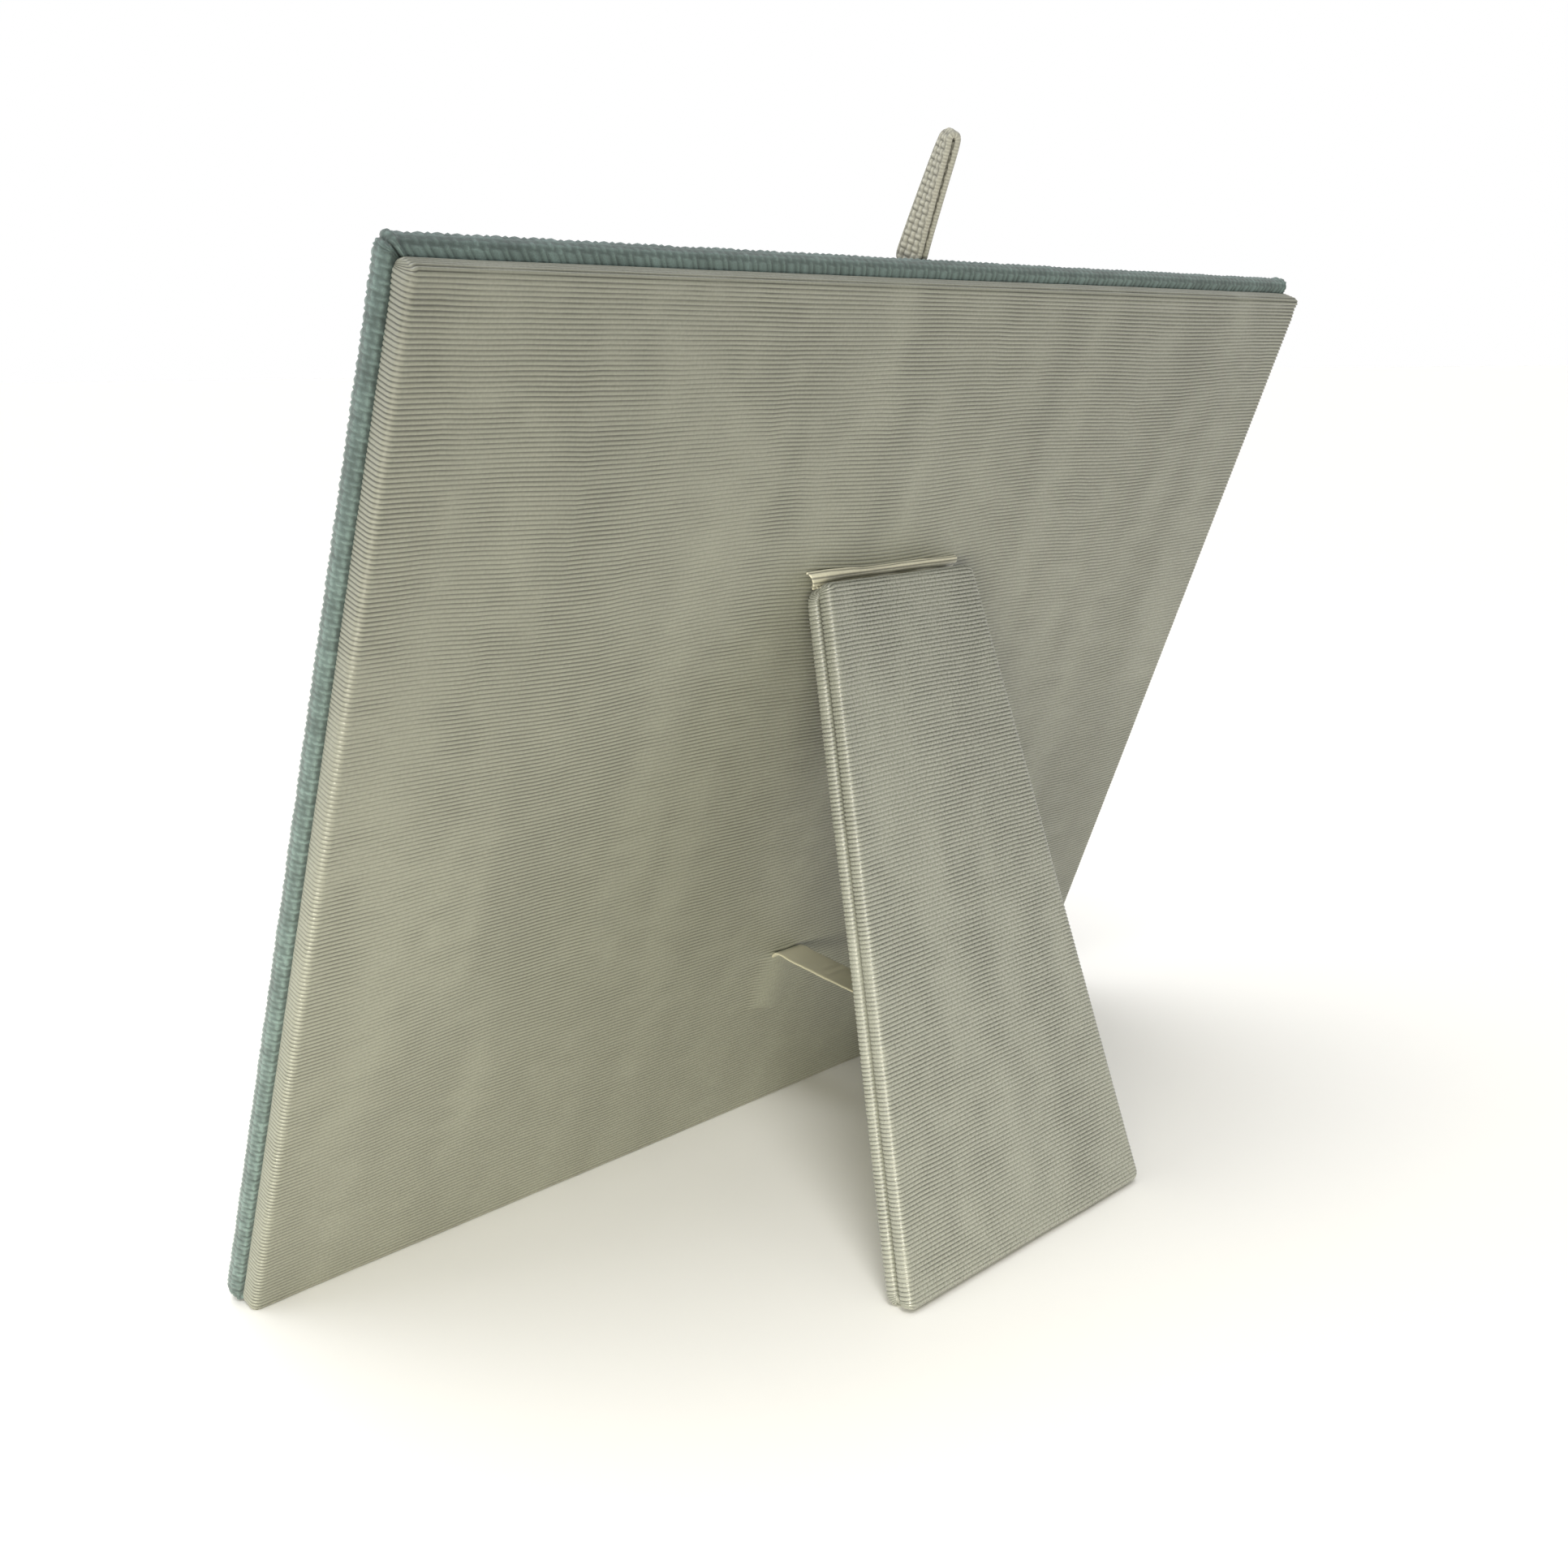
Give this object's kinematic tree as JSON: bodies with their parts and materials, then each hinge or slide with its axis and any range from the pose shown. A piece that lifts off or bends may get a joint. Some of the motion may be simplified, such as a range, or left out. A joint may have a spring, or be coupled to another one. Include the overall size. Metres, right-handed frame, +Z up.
{
  "type": "photo album stand",
  "caption": "Fabric-wrapped easel frame for one album print, with a folding leg held open by a ribbon stay and a pull-out print insert.",
  "frame": {"origin": "middle of the bounding box, on the surface the stand rests on, leg open and insert pushed in", "axes": "+Z up, +X across the frame, the print faces -Y and the leg stands at +Y"},
  "size_m": [0.219, 0.0924, 0.1885],
  "materials": {
    "moire_cloth": "satin",
    "linen_cloth": "matte",
    "greyboard": "matte",
    "hinge_cloth": "satin",
    "stay_ribbon": "satin",
    "woven_tape": "matte",
    "clear_pane": "gloss",
    "print_paper": "satin"
  },
  "bodies": {
    "frame": {"liner_board": "greyboard", "liner_cover": "moire_cloth", "stay_liner_end": "stay_ribbon", "backing_board": "greyboard", "backing_cover": "linen_cloth", "mat_board": "greyboard", "mat_cover": "moire_cloth", "pocket_spacer_left": "greyboard", "pocket_spacer_right": "greyboard", "pocket_spacer_bottom": "greyboard", "window_pane": "clear_pane", "hinge_cloth_flange": "hinge_cloth", "stay_ribbon": "stay_ribbon"},
    "leg": {"leg_inner_board": "greyboard", "leg_inner_cover": "moire_cloth", "stay_leg_end": "stay_ribbon", "leg_outer_board": "greyboard", "leg_outer_cover": "moire_cloth", "hinge_cloth_leaf": "hinge_cloth"},
    "insert": {"insert_board": "greyboard", "photo_print": "print_paper", "pull_tab": "woven_tape"}
  },
  "joints": [
    {"name": "leg_fold", "type": "hinge", "parent": "frame", "child": "leg", "pos_m": [0.002, 0.01008, 0.1151], "axis": [-1, 0, 0], "range_deg": [0, 34], "deforming": ["stay_ribbon"]},
    {"name": "insert_slide", "type": "slide", "parent": "frame", "child": "insert", "axis": [0, 0.3584, 0.9336], "range_m": [0, 0.155]}
  ]
}
